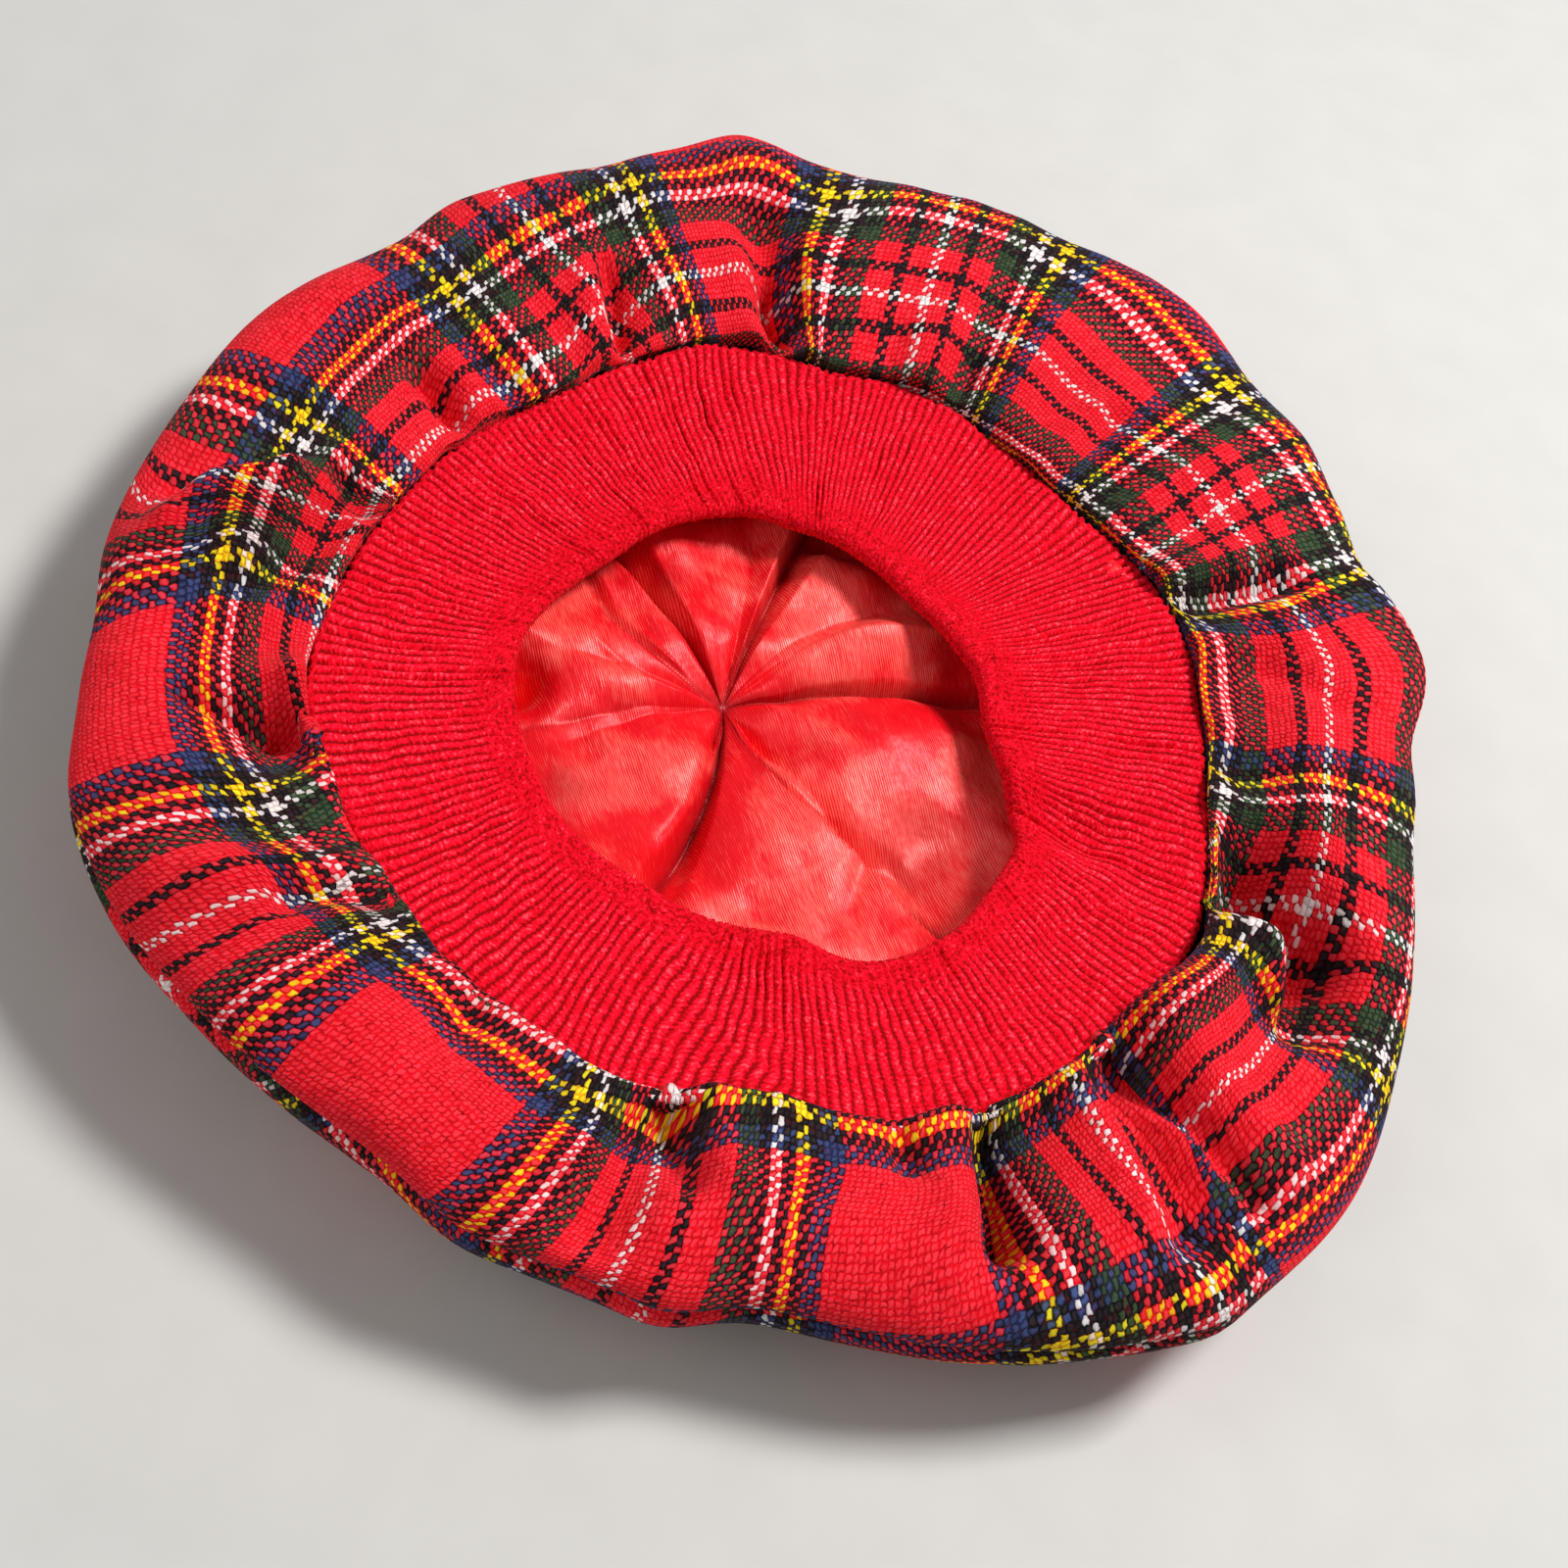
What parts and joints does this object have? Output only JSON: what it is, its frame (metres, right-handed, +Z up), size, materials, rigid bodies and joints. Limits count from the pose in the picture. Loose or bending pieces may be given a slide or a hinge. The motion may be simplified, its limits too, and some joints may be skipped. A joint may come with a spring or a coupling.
{
  "type": "tam o'shanter",
  "caption": "Flat round tartan cap lying crown down: top disc, gathered underside ring, ribbed knitted band round the head opening, satin lining.",
  "frame": {"origin": "on the flat of the top disc that the hat lies on, under the middle of the hat", "axes": "+Z up out of the head opening, -Y towards the picture's viewer, +X to the right"},
  "size_m": [0.2714, 0.2842, 0.0498],
  "materials": {
    "tartan_top": "plain woven tartan, red ground with green, black, blue, yellow and white stripes",
    "tartan_side": "plain woven tartan, red ground with green, black, blue, yellow and white stripes",
    "red_knit": "ribbed knit, matt and slightly fuzzy",
    "red_satin": "satin, softly glossy"
  },
  "bodies": {
    "root": {"crown_top": "tartan_top", "crown_side": "tartan_side", "knit_band": "red_knit", "lining": "red_satin"}
  },
  "joints": []
}
